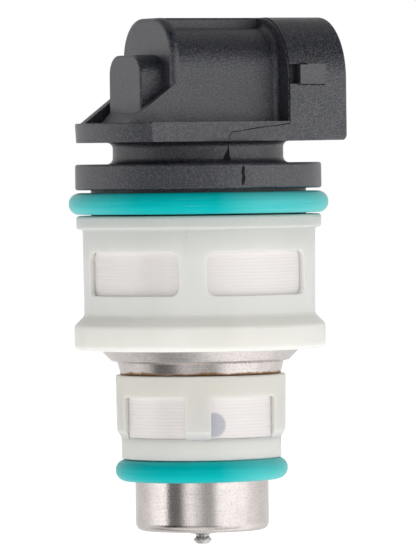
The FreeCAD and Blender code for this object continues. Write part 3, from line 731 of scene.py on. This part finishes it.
# The room's brightness: (degrees to the right of the camera, far below the object, a little below it,
# level with it, a little above it, high up). Soft boxes stand to both sides, with a black card beside the
# left one and a dim gap above the camera, and the pale table fills the view below. The numbers were worked
# out backwards from how light and dark the real steel looks, and then adjusted.
ROOM = (
    (-180, 0.72, 0.75, 0.77, 0.70, 0.30), (-137, 0.70, 0.72, 0.70, 0.70, 0.30),
    (-122, 0.60, 0.76, 0.74, 0.65, 0.30), (-107, 0.26, 0.78, 0.80, 0.60, 0.25),
    (-95, 0.26, 0.72, 1.10, 0.50, 0.15), (-82, 0.62, 0.60, 1.22, 0.40, 0.08),
    (-72, 0.72, 0.20, 1.40, 0.32, 0.05), (-66, 0.78, 0.08, 1.40, 0.25, 0.04),
    (-60, 0.85, 0.05, 0.18, 0.10, 0.03), (-48, 0.90, 0.05, 0.18, 0.08, 0.02),
    (-37, 0.90, 0.14, 0.20, 0.08, 0.02), (-31, 0.90, 0.40, 0.80, 0.09, 0.02),
    (-22, 0.90, 0.54, 1.28, 0.09, 0.02), (-10, 0.88, 0.42, 0.92, 0.09, 0.02),
    (4, 0.84, 0.36, 0.44, 0.09, 0.02), (18, 0.76, 0.34, 0.46, 0.20, 0.02),
    (27, 0.72, 0.60, 1.15, 0.50, 0.03), (36, 0.72, 1.10, 1.30, 0.80, 0.05),
    (62, 0.74, 1.22, 1.29, 0.90, 0.06), (80, 0.80, 1.15, 1.16, 0.85, 0.08),
    (92, 1.10, 1.08, 0.92, 0.80, 0.15), (105, 1.20, 1.00, 0.84, 0.70, 0.25),
    (123, 1.12, 0.88, 0.77, 0.70, 0.30), (150, 0.80, 0.78, 0.77, 0.70, 0.30),
    (180, 0.72, 0.75, 0.77, 0.70, 0.30),
)
ROOM_BRIGHTEST = 1.4

# The degrees of elevation over which each of those five bands takes over from the one before it.
ROOM_FADES = ((-90, -90), (-50, -22), (-12, -4), (4, 16), (14, 36))


def studio_world():
    """The room as reflections and soft light see it. The camera sees plain white behind the object."""
    world = bpy.data.worlds.new("studio")
    bpy.context.scene.world = world
    world.use_nodes = True
    tree = world.node_tree
    background = tree.nodes["Background"]

    def add(kind, *values, **settings):
        node = tree.nodes.new("ShaderNode" + kind)
        for key, value in settings.items():
            setattr(node, key, value)
        for socket, value in zip(node.inputs, values):
            if isinstance(value, bpy.types.NodeSocket):
                tree.links.new(value, socket)
            else:
                socket.default_value = value
        return node

    place = add("TexCoord").outputs["Generated"]
    turn = add("VectorRotate", place, rotation_type="Z_AXIS")
    turn.inputs["Angle"].default_value = -math.radians(VIEW_AZIMUTH)
    split = add("SeparateXYZ", turn.outputs[0])
    azimuth = add("Math", split.outputs[1], split.outputs[0], operation="ARCTAN2").outputs[0]
    fraction = add("Math", azimuth, 1 / (2 * math.pi), 0.5, operation="MULTIPLY_ADD").outputs[0]
    level = None
    for band, (start, end) in enumerate(ROOM_FADES, start=1):
        ramp = add("ValToRGB", fraction)
        fill_ramp(ramp, [(row[0] / 360 + 0.5, row[band] / ROOM_BRIGHTEST) for row in ROOM])
        if level is None:
            level = ramp.outputs[0]
            continue
        fade = add("MapRange", split.outputs[2], math.sin(math.radians(start)), math.sin(math.radians(end)),
                   0.0, 1.0, interpolation_type="SMOOTHSTEP").outputs[0]
        blend = add("Mix", fade, data_type="FLOAT")
        tree.links.new(level, blend.inputs[2])
        tree.links.new(ramp.outputs[0], blend.inputs[3])
        level = blend.outputs[0]
    level = add("Math", level, ROOM_BRIGHTEST, operation="MULTIPLY").outputs[0]
    path = add("LightPath").outputs["Is Camera Ray"]
    seen = add("Mix", path, data_type="FLOAT")
    tree.links.new(level, seen.inputs[2])
    seen.inputs[3].default_value = 1.0
    tree.links.new(seen.outputs[0], background.inputs["Strength"])
    background.inputs["Color"].default_value = (1, 1, 1, 1)


# Soft lights that only brighten: (degrees to the right of the camera, degrees up, metres away, metres
# across, watts).
LAMPS = ((62, 10, 0.9, 0.7, 0.3), (-5, 12, 0.9, 0.8, 0.8), (10, 60, 0.9, 0.8, 1.5))


def studio_lamps():
    middle = (cad_box[0] + cad_box[1]) / 2
    for index, (right, rise, away, across, watts) in enumerate(LAMPS):
        azimuth = math.radians(VIEW_AZIMUTH + right)
        rise = math.radians(rise)
        aim = Vector((math.cos(azimuth) * math.cos(rise), math.sin(azimuth) * math.cos(rise), math.sin(rise)))
        light = bpy.data.lights.new(f"lamp_{index}", "AREA")
        light.shape = "DISK"
        light.size = across
        light.energy = watts
        lamp = bpy.data.objects.new(f"lamp_{index}", light)
        facing = aim.to_track_quat("Z", "Y").to_matrix().to_4x4()
        lamp.matrix_world = Matrix.Translation(middle + aim * away) @ facing
        lamp.visible_glossy = False
        lamp.visible_camera = False
        bpy.context.scene.collection.objects.link(lamp)


def studio_camera():
    view = math.radians(VIEW_AZIMUTH)
    toward = Vector((math.cos(view), math.sin(view), 0))
    right = Vector((-math.sin(view), math.cos(view), 0))
    target = right * VIEW_CENTRE[0] + Vector((0, 0, VIEW_CENTRE[1]))
    rise = math.radians(VIEW_ELEVATION)
    eye = target + VIEW_DISTANCE * (toward * math.cos(rise) + Vector((0, 0, math.sin(rise))))
    camera = bpy.data.cameras.new("camera")
    camera.lens = LENS
    camera.sensor_width = SENSOR
    camera.clip_start, camera.clip_end = CLIP
    holder = bpy.data.objects.new("camera", camera)
    bpy.context.scene.collection.objects.link(holder)
    back = (eye - target).normalized()
    side = Vector((0, 0, 1)).cross(back).normalized()
    basis = Matrix((side, back.cross(side), back)).transposed().to_4x4()
    holder.matrix_world = (Matrix.Translation(eye) @ basis
                           @ Matrix.Rotation(math.radians(VIEW_ROLL), 4, "Z"))
    bpy.context.scene.camera = holder


studio_floor()
studio_world()
studio_lamps()
studio_camera()
bpy.context.scene.view_settings.view_transform = "Standard"
